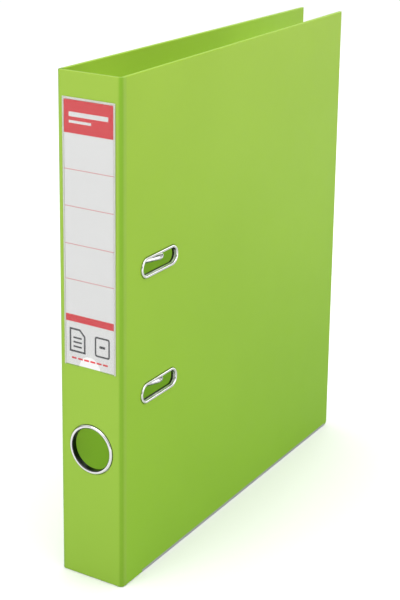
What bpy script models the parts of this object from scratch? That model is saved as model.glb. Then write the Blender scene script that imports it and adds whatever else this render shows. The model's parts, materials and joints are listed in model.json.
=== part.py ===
"""A4 lever arch file, standing on its lower edge.

+Z runs up the spine, +X is the thickness with the front cover on the +X side, and the spine's
outer face looks along -Y. The origin is under the middle of the closed file. The helpers below
take millimetres, with y counted from the spine's outer face, and build in metres.
"""
import math

import bmesh
import bpy
from mathutils import Matrix, Vector

MM = 0.001

# Driving dimensions, in millimetres.
WIDTH = 46.0
DEPTH = 288.0
HEIGHT = 318.0
BOARD = 2.4
LEAN = math.radians(2.51)
HOLE_SPACING = 80.0
GAP = 0.3
SEAT = 0.1
SIDE_GAP = 0.4

# Spine and foil hinges.
SPINE_END = 2.6
COVER_START = 4.4
HINGE_INSET = 0.55
HINGE_X = WIDTH / 2 - HINGE_INSET
FOIL = 0.6
FOIL_CORNER = 2.5
FOIL_END = 4.0
FREE_CORNER = 3.0

# Finger ring.
RING_Z = 86.4
RING_R = 16.0
RING_BORE = 13.6
RING_HOLE = 14.6
RING_PROUD = 0.7
RING_ROUND = 0.7
RING_LIP = 0.35
RING_TAIL = 0.6
WASHER_R = RING_R + 0.6
WASHER_THICK = 0.4

# Label pocket and card.
POCKET_HALF = 19.3
POCKET_LOW = 138.6
POCKET_HIGH = 302.9
POCKET_OUT = 0.85
POCKET_FILM = 0.2
POCKET_BACK = 0.1
POCKET_WELD = 1.5
NOTCH_R = 7.7
CARD_HALF = 17.5
CARD_OUT = 0.5
CARD_THICK = 0.25
CARD_BELOW = 0.6
CARD_ABOVE = 0.4

# Slots in the front cover.
MIDDLE_Z = HEIGHT / 2
LOOP_Z = (MIDDLE_Z - HOLE_SPACING / 2, MIDDLE_Z + HOLE_SPACING / 2)
SLOT_Y = 41.7
SLOT_HALF_RUN = 14.25
SLOT_FLANGE_R = 6.65
SLOT_BORE_R = 4.6
SLOT_BARREL_R = 5.1
SLOT_HOLE_R = 5.4
SLOT_PROUD = 0.5
SLOT_ROUND = 0.5
SLOT_LIP = 0.25
SLOT_TAIL = 0.45
BACKING_THICK = 0.3

# Steel shoes under the covers.
SHOE_START = 22.7
SHOE_END = 284.0
SHOE_HIGH = 1.6
SHOE_WALL = 0.4

# Base plate of the mechanism, with its rivets.
PLATE_LOW_X = -20.3
PLATE_TOP_X = -19.3
PLATE_Y = (22.0, 63.0)
PLATE_Z = (86.0, 232.0)
PLATE_CORNER = 6.0
RIVET_INSET = 6.0
RIVET_SHANK = 1.6
RIVET_HOLE = 1.9
RIVET_HEAD = 4.0
RIVET_CROWN = 0.6
RIVET_DOME = 0.9
RIVET_ROLL = 0.8
RIVET_ROLL_R = (2.2, 2.8)

# Posts, arches, lever and compressor.
POST_Y = 54.0
POST_R = 2.1
POST_TOP_X = 3.3
POST_FOOT_R = 1.3
POST_CONE_R = (0.4, 1.8)
POST_CONE_DEEP = 1.4
POST_EASE = 0.2
WIRE_R = 2.0
WIRE_TIP = 0.25
ARCH_Y = 34.0
ARCH_X = -16.0
ARCH_LIMB = (
    (POST_Y, POST_TOP_X - 0.7, 0.0),
    (POST_Y, POST_TOP_X + 0.6, 0.0),
    (POST_Y, 17.5, 5.0),
    (28.0, 9.8, 7.0),
    (25.5, 0.0, 12.0),
    (ARCH_Y, ARCH_X, 3.0),
)
CRANK_OUT = 4.2
CRANK_HALF = 11.0
CRANK_SLOPE = 3.0
CRANK_BEND = 3.0
EAR_THICK = 1.2
EAR_ROOT = 0.5
ARCH_EAR_R = 3.6
ARCH_EAR_BORE = WIRE_R + 0.25
ARCH_EAR_Z = 33.0
LEVER_EAR_R = 2.1
LEVER_Y = 42.6
LEVER_X = -15.8
LEVER_HALF = 5.2
LEVER_WALL = 0.8
LEVER_HUB_R = 2.3
PIN_R = 1.1
PIN_HOLE = 1.3
PIN_EASE = 0.2
LEVER_PIN_HALF = 7.4
ROLLER_PIN_HALF = 5.6
ROLLER_Y = ARCH_Y + CRANK_OUT
ROLLER_X = -10.8
ROLLER_R = 3.0
ROLLER_EASE = 0.3
SPRING_WIDTH = 7.0
BAR_LOW_X = -18.9
BAR_THICK = 1.2
BAR_HALF = 4.8
BAR_WAIST = 3.2
BAR_WAIST_INSET = 12.0
BAR_WAIST_SLOPE = 3.0
BAR_CORNER = 2.0
BAR_LONG_HALF = 54.0
CATCH_THICK = 0.6
CATCH_HALF = 3.0
CATCH_BACK = 7.0
CATCH_FRONT = 11.0
CATCH_LIP = 4.0
CATCH_SLOT_R = 2.4
CATCH_TRAVEL = 1.5

ROUND = 32
SMALL_ROUND = 20

# Directions that a flat outline's own x, y and thickness take in the file.
FACING_X = Matrix(((0, 0, 1), (1, 0, 0), (0, 1, 0)))
FACING_Y = Matrix(((1, 0, 0), (0, 0, -1), (0, 1, 0)))
FACING_Z = Matrix(((0, 1, 0), (1, 0, 0), (0, 0, -1)))


def place(x, y, z):
    """A point of the file, from millimetres with y counted from the spine's outer face."""
    return Vector((x, y - DEPTH / 2, z)) * MM


def new_collection(name):
    """A collection under the scene."""
    made = bpy.data.collections.new(name)
    bpy.context.scene.collection.children.link(made)
    return made


def new_material(name, colour, roughness, metallic):
    """A Principled material of one colour."""
    made = bpy.data.materials.new(name)
    made.use_nodes = True
    made.diffuse_color = (*colour, 1.0)
    shader = made.node_tree.nodes["Principled BSDF"]
    shader.inputs["Base Color"].default_value = (*colour, 1.0)
    shader.inputs["Roughness"].default_value = roughness
    shader.inputs["Metallic"].default_value = metallic
    return made


def clear_scene():
    """Removes whatever the scene holds."""
    for old in list(bpy.data.objects):
        bpy.data.objects.remove(old, do_unlink=True)


clear_scene()
FILE = new_collection("lever_arch_file")
CUTTERS = new_collection("cutters")


def keep(obj, finish):
    """Puts a piece in the file's collection, with a material of its own."""
    FILE.objects.link(obj)
    name, colour, roughness, metallic = finish
    obj.data.materials.clear()
    obj.data.materials.append(new_material(f"{obj.name}_{name}", colour, roughness, metallic))
    return obj


def as_cutter(obj):
    """Puts a shape among the cutters, which only carve other pieces."""
    CUTTERS.objects.link(obj)
    obj.hide_render = True
    obj.display_type = "WIRE"
    return obj


def shade(obj, angle=35.0):
    """Smooth shading that keeps the sharp edges."""
    obj.data.shade_smooth()
    obj.data.set_sharp_from_angle(angle=math.radians(angle))
    return obj


def mesh_object(name, shape, centre=None, turn=None):
    """An object from a bmesh, with its origin at centre."""
    data = bpy.data.meshes.new(name)
    shape.to_mesh(data)
    shape.free()
    obj = bpy.data.objects.new(name, data)
    obj.matrix_world = Matrix.Translation(centre or Vector()) @ (turn or Matrix()).to_4x4()
    return obj


def solid_from_curve(curve_obj):
    """The mesh of a curve, welded, in the curve's place."""
    bpy.context.scene.collection.objects.link(curve_obj)
    bpy.context.view_layer.update()
    graph = bpy.context.evaluated_depsgraph_get()
    data = bpy.data.meshes.new_from_object(curve_obj.evaluated_get(graph))
    shape = bmesh.new()
    shape.from_mesh(data)
    bmesh.ops.remove_doubles(shape, verts=shape.verts, dist=1e-7)
    bmesh.ops.recalc_face_normals(shape, faces=shape.faces)
    shape.to_mesh(data)
    shape.free()
    obj = bpy.data.objects.new(curve_obj.name, data)
    obj.matrix_world = curve_obj.matrix_world.copy()
    name, old = curve_obj.name, curve_obj.data
    bpy.data.objects.remove(curve_obj)
    bpy.data.curves.remove(old)
    obj.name = name
    return obj


def sheet(name, outlines, thickness, centre, facing):
    """A flat sheet: the first outline is its edge and the others are holes, in millimetres about centre."""
    flat = bpy.data.curves.new(name, "CURVE")
    flat.dimensions = "2D"
    flat.fill_mode = "BOTH"
    flat.extrude = thickness * MM / 2
    for outline in outlines:
        spline = flat.splines.new("POLY")
        spline.points.add(len(outline) - 1)
        for point, (a, b) in zip(spline.points, outline):
            point.co = (a * MM, b * MM, 0.0, 1.0)
        spline.use_cyclic_u = True
    obj = bpy.data.objects.new(name, flat)
    obj.matrix_world = Matrix.Translation(centre) @ facing.to_4x4()
    return solid_from_curve(obj)


def arc(centre, radius, start, end, steps):
    """Points along an arc, angles in degrees."""
    points = []
    for step in range(steps + 1):
        angle = math.radians(start + (end - start) * step / steps)
        points.append((centre[0] + radius * math.cos(angle), centre[1] + radius * math.sin(angle)))
    return points


def circle(centre, radius, count=ROUND):
    """A closed round outline."""
    return arc(centre, radius, 0.0, 360.0 * (count - 1) / count, count - 1)


def rectangle(low, high):
    """A closed rectangular outline."""
    return [(low[0], low[1]), (high[0], low[1]), (high[0], high[1]), (low[0], high[1])]


def rounded_rectangle(low, high, radius, steps=6):
    """A rectangle with round corners."""
    corners = (
        ((high[0] - radius, low[1] + radius), -90.0),
        ((high[0] - radius, high[1] - radius), 0.0),
        ((low[0] + radius, high[1] - radius), 90.0),
        ((low[0] + radius, low[1] + radius), 180.0),
    )
    points = []
    for centre, start in corners:
        points += arc(centre, radius, start, start + 90.0, steps)
    return points


def stadium(centre, half_run, radius, steps=10):
    """A slot outline: two half circles joined by straight sides, long way along the first direction."""
    right = arc((centre[0] + half_run, centre[1]), radius, -90.0, 90.0, steps)
    left = arc((centre[0] - half_run, centre[1]), radius, 90.0, 270.0, steps)
    return right + left


def channel(half, wall_half, floor, top, base=0.0):
    """The section of an upright U: outer half width, inner half width, floor height and leg height."""
    return [
        (-half, base),
        (half, base),
        (half, top),
        (wall_half, top),
        (wall_half, floor),
        (-wall_half, floor),
        (-wall_half, top),
        (-half, top),
    ]


def turned(name, centre, axis, profile, count=ROUND):
    """A turned piece: (radius, height) points down its outer side and back, about axis through centre."""
    shape = bmesh.new()
    verts = [shape.verts.new((radius * MM, 0.0, height * MM)) for radius, height in profile]
    for first, second in zip(verts, verts[1:]):
        shape.edges.new((first, second))
    if profile[0][0] > 0.0:
        shape.edges.new((verts[-1], verts[0]))
    obj = mesh_object(name, shape, centre, Vector((0, 0, 1)).rotation_difference(axis).to_matrix())
    screw = obj.modifiers.new("turn", "SCREW")
    screw.axis = "Z"
    screw.angle = math.tau
    screw.steps = count
    screw.render_steps = count
    screw.use_merge_vertices = True
    screw.merge_threshold = 1e-6
    return obj


def slot_frame(name, profile, centre, facing):
    """A loft of a closed (radius, height) profile round a slot's outline."""
    shape = bmesh.new()
    loops = []
    for radius, height in profile:
        outline = stadium((0.0, 0.0), SLOT_HALF_RUN, radius)
        loops.append([shape.verts.new((a * MM, b * MM, height * MM)) for a, b in outline])
    count = len(loops[0])
    for one, two in zip(loops, loops[1:] + loops[:1]):
        for i in range(count):
            j = (i + 1) % count
            shape.faces.new((one[i], one[j], two[j], two[i]))
    bmesh.ops.recalc_face_normals(shape, faces=shape.faces)
    return mesh_object(name, shape, centre, facing)


def rounded_path(corners, steps=5):
    """A route through corners given as (point, bend radius), with each bend as an arc."""
    route = [corners[0][0]]
    for (before, _), (here, radius), (after, _) in zip(corners, corners[1:], corners[2:]):
        if radius == 0.0:
            route.append(here)
            continue
        inward = (before - here).normalized()
        outward = (after - here).normalized()
        half = inward.angle(outward) / 2
        reach = radius / math.tan(half)
        middle = here + (inward + outward).normalized() * (radius / math.sin(half))
        start = (here + inward * reach - middle).normalized()
        end = (here + outward * reach - middle).normalized()
        for step in range(steps + 1):
            route.append(middle + start.slerp(end, step / steps) * radius)
    route.append(corners[-1][0])
    return route


def wire(name, route, radius, tip_scale=1.0):
    """A round wire along a route in millimetres, its two ends narrowed to tip_scale."""
    line = bpy.data.curves.new(name, "CURVE")
    line.dimensions = "3D"
    line.bevel_depth = radius * MM
    line.bevel_resolution = 2
    line.use_fill_caps = True
    spline = line.splines.new("POLY")
    spline.points.add(len(route) - 1)
    for point, spot in zip(spline.points, route):
        point.co = (*place(*spot), 1.0)
    spline.points[0].radius = tip_scale
    spline.points[-1].radius = tip_scale
    return bpy.data.objects.new(name, line)


def boolean(target, other, operation):
    """Cuts other from target, or joins it on."""
    step = target.modifiers.new(other.name, "BOOLEAN")
    step.operation = operation
    step.solver = "EXACT"
    step.object = other
    return target


def cut(target, cutter):
    """Takes a cutter's shape out of a piece."""
    return boolean(target, as_cutter(cutter), "DIFFERENCE")


def add(target, extra):
    """Makes another shape one with a piece."""
    return boolean(target, as_cutter(extra), "UNION")


def pivot(name, x, y, z=MIDDLE_Z):
    """An empty on a joint's axis, which its pieces hang from."""
    marker = bpy.data.objects.new(name, None)
    marker.empty_display_size = 0.01
    marker.location = place(x, y, z)
    FILE.objects.link(marker)
    return marker


def hang(marker, pieces):
    """Parents pieces to an empty where they stand."""
    bpy.context.view_layer.update()
    for piece in pieces:
        piece.parent = marker
        piece.matrix_parent_inverse = marker.matrix_world.inverted()


FOIL_GREEN = ("foil", (0.34, 0.55, 0.065), 0.42, 0.0)
CHROME = ("chrome", (0.80, 0.80, 0.82), 0.12, 1.0)
STEEL = ("steel", (0.62, 0.62, 0.63), 0.3, 1.0)
FILM = ("film", (0.82, 0.82, 0.83), 0.2, 0.0)
CARD = ("card", (0.78, 0.78, 0.78), 0.7, 0.0)


def cover_outline():
    """A cover board's edge as (y, z), with its lower free corner rounded."""
    corner = arc((DEPTH - FREE_CORNER, FREE_CORNER), FREE_CORNER, -90.0, 0.0, 6)
    return [(COVER_START, 0.0)] + corner + [(DEPTH, HEIGHT), (COVER_START, HEIGHT)]


def cover_board(name, side, holes):
    """A foil-covered board, relieved along its lower edge for the shoe."""
    middle_x = side * (WIDTH - BOARD) / 2
    board = sheet(name, [cover_outline()] + holes, BOARD, place(middle_x, 0.0, 0.0), FACING_X)
    tongue_half = BOARD / 2 - SHOE_WALL - GAP
    below = -1.0
    section = channel(BOARD, tongue_half, SHOE_WALL + GAP, SHOE_HIGH + GAP, below)
    length = SHOE_END - SHOE_START + 2 * GAP
    middle = place(middle_x, (SHOE_START + SHOE_END) / 2, 0.0)
    relief = sheet(f"{name}_shoe_relief", [section], length, middle, FACING_Y)
    return keep(cut(board, relief), FOIL_GREEN)


def shoe(name, side):
    """The steel channel pressed on a cover's lower edge."""
    section = channel(BOARD / 2, BOARD / 2 - SHOE_WALL, SHOE_WALL, SHOE_HIGH)
    middle = place(side * (WIDTH - BOARD) / 2, (SHOE_START + SHOE_END) / 2, 0.0)
    return keep(sheet(name, [section], SHOE_END - SHOE_START, middle, FACING_Y), STEEL)


def rivet_places():
    """The four rivets of the base plate as (y, z)."""
    rows = (PLATE_Z[0] + RIVET_INSET, PLATE_Z[1] - RIVET_INSET)
    columns = (PLATE_Y[0] + RIVET_INSET, PLATE_Y[1] - RIVET_INSET)
    return [(y, z) for z in rows for y in columns]


def back_board():
    """The back cover, pierced for the rivets."""
    return cover_board("back_board", -1, [circle(spot, RIVET_HOLE, SMALL_ROUND) for spot in rivet_places()])


def rivet(name, spot):
    """A rivet with its flat dome outside the cover and its turned-over end on the base plate."""
    y, z = spot
    face = -WIDTH / 2
    roll_under = PLATE_TOP_X + SEAT - face
    roll_top = roll_under + RIVET_ROLL
    profile = [
        (0.0, roll_top),
        (RIVET_ROLL_R[0], roll_top),
        (RIVET_ROLL_R[1], roll_under),
        (RIVET_SHANK, roll_under),
        (RIVET_SHANK, -SEAT),
        (RIVET_HEAD, -SEAT),
        (RIVET_HEAD - RIVET_CROWN, 0.2 - RIVET_DOME),
        (0.0, -RIVET_DOME),
    ]
    return keep(shade(turned(name, place(face, y, z), Vector((1, 0, 0)), profile, SMALL_ROUND)), CHROME)


def ear(name, z, hole, bore, radius):
    """An ear of the base plate with a bearing hole, as a (y, x) outline that starts inside the plate."""
    y, x = hole
    root = PLATE_LOW_X + EAR_ROOT
    outline = [(y - radius, root), (y + radius, root)] + arc(hole, radius, 0.0, 180.0, 10)
    return sheet(name, [outline, circle(hole, bore, SMALL_ROUND)], EAR_THICK, place(0.0, 0.0, z), FACING_Z)


def base_plate():
    """The pressed base plate with two ears for the arch wire and two for the lever's pin."""
    edge = rounded_rectangle((PLATE_Y[0], PLATE_Z[0]), (PLATE_Y[1], PLATE_Z[1]), PLATE_CORNER)
    holes = [circle(spot, RIVET_HOLE, SMALL_ROUND) for spot in rivet_places()]
    holes += [circle((POST_Y, z), POST_FOOT_R + 0.2, SMALL_ROUND) for z in LOOP_Z]
    middle = place((PLATE_LOW_X + PLATE_TOP_X) / 2, 0.0, 0.0)
    plate = sheet("base_plate", [edge] + holes, PLATE_TOP_X - PLATE_LOW_X, middle, FACING_X)
    for side in (-1, 1):
        arch_ear_z = MIDDLE_Z + side * ARCH_EAR_Z
        lever_ear_z = MIDDLE_Z + side * (LEVER_HALF + SIDE_GAP + EAR_THICK / 2)
        add(plate, ear(f"arch_ear_{side}", arch_ear_z, (ARCH_Y, ARCH_X), ARCH_EAR_BORE, ARCH_EAR_R))
        add(plate, ear(f"lever_ear_{side}", lever_ear_z, (LEVER_Y, LEVER_X), PIN_HOLE, LEVER_EAR_R))
    return keep(plate, STEEL)


def post(name, z):
    """A fixed post, riveted through the base plate, with a countersunk top for the arch's point."""
    foot = PLATE_LOW_X - PLATE_TOP_X
    top = POST_TOP_X - PLATE_TOP_X
    profile = [
        (0.0, top - POST_CONE_DEEP),
        (POST_CONE_R[0], top - POST_CONE_DEEP),
        (POST_CONE_R[1], top),
        (POST_R, top - POST_EASE),
        (POST_R, SEAT),
        (POST_FOOT_R, SEAT),
        (POST_FOOT_R, foot),
        (0.0, foot),
    ]
    return keep(shade(turned(name, place(PLATE_TOP_X, POST_Y, z), Vector((1, 0, 0)), profile)), CHROME)


def arch_bail():
    """Both arches, their pivot and the crank between them, bent from one wire."""
    low, high = LOOP_Z
    corners = [(Vector((x, y, low)), bend) for y, x, bend in ARCH_LIMB]
    crank = (
        (ARCH_Y, -CRANK_HALF - CRANK_SLOPE),
        (ROLLER_Y, -CRANK_HALF + CRANK_SLOPE),
        (ROLLER_Y, CRANK_HALF - CRANK_SLOPE),
        (ARCH_Y, CRANK_HALF + CRANK_SLOPE),
    )
    corners += [(Vector((ARCH_X, y, MIDDLE_Z + offset)), CRANK_BEND) for y, offset in crank]
    corners += [(Vector((x, y, high)), bend) for y, x, bend in reversed(ARCH_LIMB)]
    return keep(wire("arch_bail", rounded_path(corners), WIRE_R, WIRE_TIP), CHROME)


def lever():
    """The pressed lever: a channel over the roller, pivoted at one end with a thumb tip at the other."""
    hub = arc((0.0, 0.0), LEVER_HUB_R, 180.0, 360.0, 10)
    outline = hub + [
        (LEVER_HUB_R, 5.3),
        (0.0, 9.2),
        (-23.0, 9.2),
        (-30.0, 11.0),
        (-31.8, 10.2),
        (-30.0, 8.2),
        (-24.0, 6.2),
        (-8.0, 2.9),
        (-LEVER_HUB_R, 2.6),
    ]
    middle = place(LEVER_X, LEVER_Y, MIDDLE_Z)
    body = sheet("lever", [outline], 2 * LEVER_HALF, middle, FACING_Z)
    hollow = [(4.0, -4.2), (4.0, 3.6), (-0.4, 8.4), (-22.8, 8.4), (-25.0, 7.8), (-25.0, -4.2)]
    cut(body, sheet("lever_hollow", [hollow], 2 * (LEVER_HALF - LEVER_WALL), middle, FACING_Z))
    roller_spot = (ROLLER_Y - LEVER_Y, ROLLER_X - LEVER_X)
    for name, spot in (("lever_pin_hole", (0.0, 0.0)), ("roller_pin_hole", roller_spot)):
        cut(body, sheet(name, [circle(spot, PIN_HOLE, SMALL_ROUND)], 4 * LEVER_HALF, middle, FACING_Z))
    return keep(body, CHROME)


def pin(name, y, x, half):
    """A plain pin along Z."""
    profile = [(0.0, half), (PIN_R - PIN_EASE, half), (PIN_R, half - PIN_EASE)]
    profile += [(PIN_R, PIN_EASE - half), (PIN_R - PIN_EASE, -half), (0.0, -half)]
    return keep(shade(turned(name, place(x, y, MIDDLE_Z), Vector((0, 0, 1)), profile, SMALL_ROUND)), STEEL)


def roller():
    """The roller that presses the arches' crank down."""
    half = LEVER_HALF - LEVER_WALL - SIDE_GAP
    profile = [(ROLLER_R - ROLLER_EASE, half), (ROLLER_R, half - ROLLER_EASE), (ROLLER_R, ROLLER_EASE - half)]
    profile += [(ROLLER_R - ROLLER_EASE, -half), (PIN_HOLE, -half), (PIN_HOLE, half)]
    centre = place(ROLLER_X, ROLLER_Y, MIDDLE_Z)
    return keep(shade(turned("roller", centre, Vector((0, 0, 1)), profile, SMALL_ROUND)), STEEL)


def leaf_spring():
    """The flat spring between base plate and crank that lifts the arches."""
    section = [(-4.5, 0.35), (3.2, 0.35), (3.2, 0.85), (-1.0, 1.0), (-4.5, 0.85)]
    middle = place(PLATE_TOP_X, ROLLER_Y, MIDDLE_Z)
    return keep(sheet("leaf_spring", [section], SPRING_WIDTH, middle, FACING_Z), STEEL)


def compressor_bar():
    """The clamp bar that slides on the posts, waisted between its two round-holed ends."""
    waist_low, waist_high = LOOP_Z[0] + BAR_WAIST_INSET, LOOP_Z[1] - BAR_WAIST_INSET
    low, high = MIDDLE_Z - BAR_LONG_HALF, MIDDLE_Z + BAR_LONG_HALF
    edge = POST_Y + BAR_HALF
    right = [
        (edge - BAR_CORNER, low),
        (edge, low + BAR_CORNER),
        (edge, waist_low - BAR_WAIST_SLOPE),
        (POST_Y + BAR_WAIST, waist_low),
        (POST_Y + BAR_WAIST, waist_high),
        (edge, waist_high + BAR_WAIST_SLOPE),
        (edge, high - BAR_CORNER),
        (edge - BAR_CORNER, high),
    ]
    left = [(2 * POST_Y - y, z) for y, z in reversed(right)]
    holes = [circle((POST_Y, z), POST_R + GAP, SMALL_ROUND) for z in LOOP_Z]
    middle = place(BAR_LOW_X + BAR_THICK / 2, 0.0, 0.0)
    return keep(sheet("compressor_bar", [right + left] + holes, BAR_THICK, middle, FACING_X), STEEL)


def compressor_catch(name, z, toward):
    """A sprung catch on the bar, round one post, with an upright thumb lip towards the middle."""
    low_x = BAR_LOW_X + BAR_THICK + SEAT
    far, near = -toward * CATCH_BACK, toward * CATCH_FRONT
    lip = near - toward * CATCH_THICK
    section = [
        (far, low_x),
        (near, low_x),
        (near, low_x + CATCH_LIP),
        (lip, low_x + CATCH_LIP),
        (lip, low_x + CATCH_THICK),
        (far, low_x + CATCH_THICK),
    ]
    along = Matrix(((0, 1, 0), (0, 0, 1), (1, 0, 0)))
    body = sheet(name, [section], 2 * CATCH_HALF, place(0.0, POST_Y, z), along)
    middle_z = z - toward * CATCH_TRAVEL / 2
    run = [(b + POST_Y, a + middle_z) for a, b in stadium((0.0, 0.0), CATCH_TRAVEL / 2, CATCH_SLOT_R, 8)]
    cut(body, sheet(f"{name}_slot", [run], 4.0, place(low_x, 0.0, 0.0), FACING_X))
    return keep(body, STEEL)


def spine_board():
    """The spine, pierced for the finger ring."""
    half = WIDTH / 2 - SPINE_END
    edge = rectangle((-half, 0.0), (half, HEIGHT))
    hole = circle((0.0, RING_Z), RING_HOLE)
    return keep(sheet("spine_board", [edge, hole], BOARD, place(0.0, BOARD / 2, 0.0), FACING_Y), FOIL_GREEN)


def hinge_foil(name, side):
    """The foil that turns the corner from the spine to a cover, as an (x, y) section."""
    middle = (WIDTH / 2 - FOIL_CORNER, FOIL_CORNER)
    outer = arc(middle, FOIL_CORNER, -90.0, 0.0, 6)
    inner = arc(middle, FOIL_CORNER - FOIL, 0.0, -90.0, 6)
    section = outer + [(WIDTH / 2, FOIL_END), (WIDTH / 2 - FOIL, FOIL_END)] + inner
    mirrored = [(y, side * x) for x, y in section]
    return keep(sheet(name, [mirrored], HEIGHT - 2 * GAP, place(0.0, 0.0, MIDDLE_Z), FACING_Z), FOIL_GREEN)


def ring_eyelet():
    """The rolled rim of the finger hole, with its barrel through the spine."""
    profile = [
        (RING_BORE + RING_ROUND, RING_PROUD),
        (RING_R - RING_ROUND, RING_PROUD),
        (RING_R, RING_LIP),
        (RING_R, SEAT),
        (RING_HOLE - GAP, SEAT),
        (RING_HOLE - GAP, -BOARD - RING_TAIL),
        (RING_BORE, -BOARD - RING_TAIL),
        (RING_BORE, SEAT),
    ]
    centre = place(0.0, 0.0, RING_Z)
    return keep(shade(turned("ring_eyelet", centre, Vector((0, -1, 0)), profile, 48)), CHROME)


def ring_washer():
    """The backing ring inside the spine."""
    near, far = -BOARD - SEAT, -BOARD - SEAT - WASHER_THICK
    profile = [(WASHER_R, near), (WASHER_R, far), (RING_HOLE, far), (RING_HOLE, near)]
    centre = place(0.0, 0.0, RING_Z)
    return keep(turned("ring_washer", centre, Vector((0, -1, 0)), profile, 40), STEEL)


def label_pocket():
    """The clear pocket: a film welded to the spine along three sides, with a thumb notch at its mouth."""
    notch = arc((0.0, POCKET_LOW), NOTCH_R, 180.0, 0.0, 16)
    edge = [(-POCKET_HALF, POCKET_LOW)] + notch
    edge += [(POCKET_HALF, POCKET_LOW), (POCKET_HALF, POCKET_HIGH), (-POCKET_HALF, POCKET_HIGH)]
    thick = POCKET_OUT - POCKET_BACK
    film = sheet("label_pocket", [edge], thick, place(0.0, -POCKET_BACK - thick / 2, 0.0), FACING_Y)
    inside_half = POCKET_HALF - POCKET_WELD
    inside = rectangle((-inside_half, POCKET_LOW - NOTCH_R), (inside_half, POCKET_HIGH - POCKET_WELD))
    deep = POCKET_OUT - POCKET_FILM
    hollow = sheet("label_pocket_hollow", [inside], deep, place(0.0, -deep / 2, 0.0), FACING_Y)
    return keep(cut(film, hollow), FILM)


def label_card():
    """The paper label in the pocket."""
    low, high = POCKET_LOW + CARD_BELOW, POCKET_HIGH - POCKET_WELD - CARD_ABOVE
    edge = rectangle((-CARD_HALF, low), (CARD_HALF, high))
    middle = place(0.0, -CARD_OUT + CARD_THICK / 2, 0.0)
    return keep(sheet("label_card", [edge], CARD_THICK, middle, FACING_Y), CARD)


def front_board():
    """The front cover, with a slot over each arch."""
    return cover_board("front_board", 1, [stadium((SLOT_Y, z), SLOT_HALF_RUN, SLOT_HOLE_R) for z in LOOP_Z])


def slot_eyelet(name, z):
    """The rolled metal rim of a slot, with its barrel through the cover."""
    profile = [
        (SLOT_BORE_R + SLOT_ROUND, SLOT_PROUD),
        (SLOT_FLANGE_R - SLOT_ROUND, SLOT_PROUD),
        (SLOT_FLANGE_R, SLOT_LIP),
        (SLOT_FLANGE_R, SEAT),
        (SLOT_BARREL_R, SEAT),
        (SLOT_BARREL_R, -BOARD - SLOT_TAIL),
        (SLOT_BORE_R, -BOARD - SLOT_TAIL),
        (SLOT_BORE_R, SEAT),
    ]
    return keep(shade(slot_frame(name, profile, place(WIDTH / 2, SLOT_Y, z), FACING_X)), CHROME)


def slot_backing(name, z):
    """The flat frame behind a slot."""
    near, far = -BOARD - SEAT, -BOARD - SEAT - BACKING_THICK
    profile = [(SLOT_FLANGE_R, near), (SLOT_FLANGE_R, far), (SLOT_HOLE_R, far), (SLOT_HOLE_R, near)]
    return keep(slot_frame(name, profile, place(WIDTH / 2, SLOT_Y, z), FACING_X), STEEL)


def build():
    """Makes every piece and hangs the moving ones on their joints' axes."""
    back_board()
    shoe("back_shoe", -1)
    base_plate()
    for number, spot in enumerate(rivet_places(), 1):
        rivet(f"rivet_{number}", spot)
    for side, z in zip(("lower", "upper"), LOOP_Z):
        post(f"post_{side}", z)
    leaf_spring()
    pin("lever_pin", LEVER_Y, LEVER_X, LEVER_PIN_HALF)

    hang(pivot("arch_axis", ARCH_X, ARCH_Y), [arch_bail()])
    roller_pin = pin("roller_pin", ROLLER_Y, ROLLER_X, ROLLER_PIN_HALF)
    hang(pivot("lever_axis", LEVER_X, LEVER_Y), [lever(), roller_pin, roller()])

    catches = []
    for side, z, toward in zip(("lower", "upper"), LOOP_Z, (1, -1)):
        catches.append(compressor_catch(f"compressor_catch_{side}", z, toward))
    hang(pivot("compressor_path", BAR_LOW_X, POST_Y), [compressor_bar()] + catches)

    label = label_card()
    spine = [spine_board(), hinge_foil("back_hinge_foil", -1), hinge_foil("front_hinge_foil", 1)]
    spine += [ring_eyelet(), ring_washer(), label_pocket(), label]
    hang(pivot("spine_axis", -HINGE_X, HINGE_INSET), spine)

    front = [front_board(), shoe("front_shoe", 1)]
    for side, z in zip(("lower", "upper"), LOOP_Z):
        front += [slot_eyelet(f"slot_eyelet_{side}", z), slot_backing(f"slot_backing_{side}", z)]
    cover_axis = pivot("cover_axis", HINGE_X, HINGE_INSET)
    cutters = [cutter for cutter in CUTTERS.objects if cutter.name.startswith("front_board")]
    hang(cover_axis, front + cutters)
    cover_axis.rotation_euler.z = LEAN
    bpy.context.view_layer.update()


build()
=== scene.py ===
import json
import math

import bmesh
import bpy
from mathutils import Matrix, Vector


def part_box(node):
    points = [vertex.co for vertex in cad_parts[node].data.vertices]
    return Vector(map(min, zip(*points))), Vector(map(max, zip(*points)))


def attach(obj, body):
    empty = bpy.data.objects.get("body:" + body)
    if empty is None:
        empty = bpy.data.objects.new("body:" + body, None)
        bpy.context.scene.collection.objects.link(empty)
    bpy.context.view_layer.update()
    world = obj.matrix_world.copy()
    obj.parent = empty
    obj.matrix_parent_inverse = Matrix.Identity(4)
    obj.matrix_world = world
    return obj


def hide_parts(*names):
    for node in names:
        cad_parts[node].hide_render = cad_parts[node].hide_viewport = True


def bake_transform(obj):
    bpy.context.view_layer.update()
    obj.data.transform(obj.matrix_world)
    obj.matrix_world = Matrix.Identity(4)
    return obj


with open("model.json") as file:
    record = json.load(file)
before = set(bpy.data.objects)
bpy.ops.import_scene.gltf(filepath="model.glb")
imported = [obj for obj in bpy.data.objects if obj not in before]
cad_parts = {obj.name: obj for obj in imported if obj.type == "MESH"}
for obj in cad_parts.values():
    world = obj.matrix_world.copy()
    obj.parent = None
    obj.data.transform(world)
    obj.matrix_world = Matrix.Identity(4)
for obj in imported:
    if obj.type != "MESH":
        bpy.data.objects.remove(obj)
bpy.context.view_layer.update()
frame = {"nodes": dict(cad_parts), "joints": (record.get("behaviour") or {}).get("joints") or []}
MM = 0.001


# ---------------------------------------------------------------- frame measures, in millimetres

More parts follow.
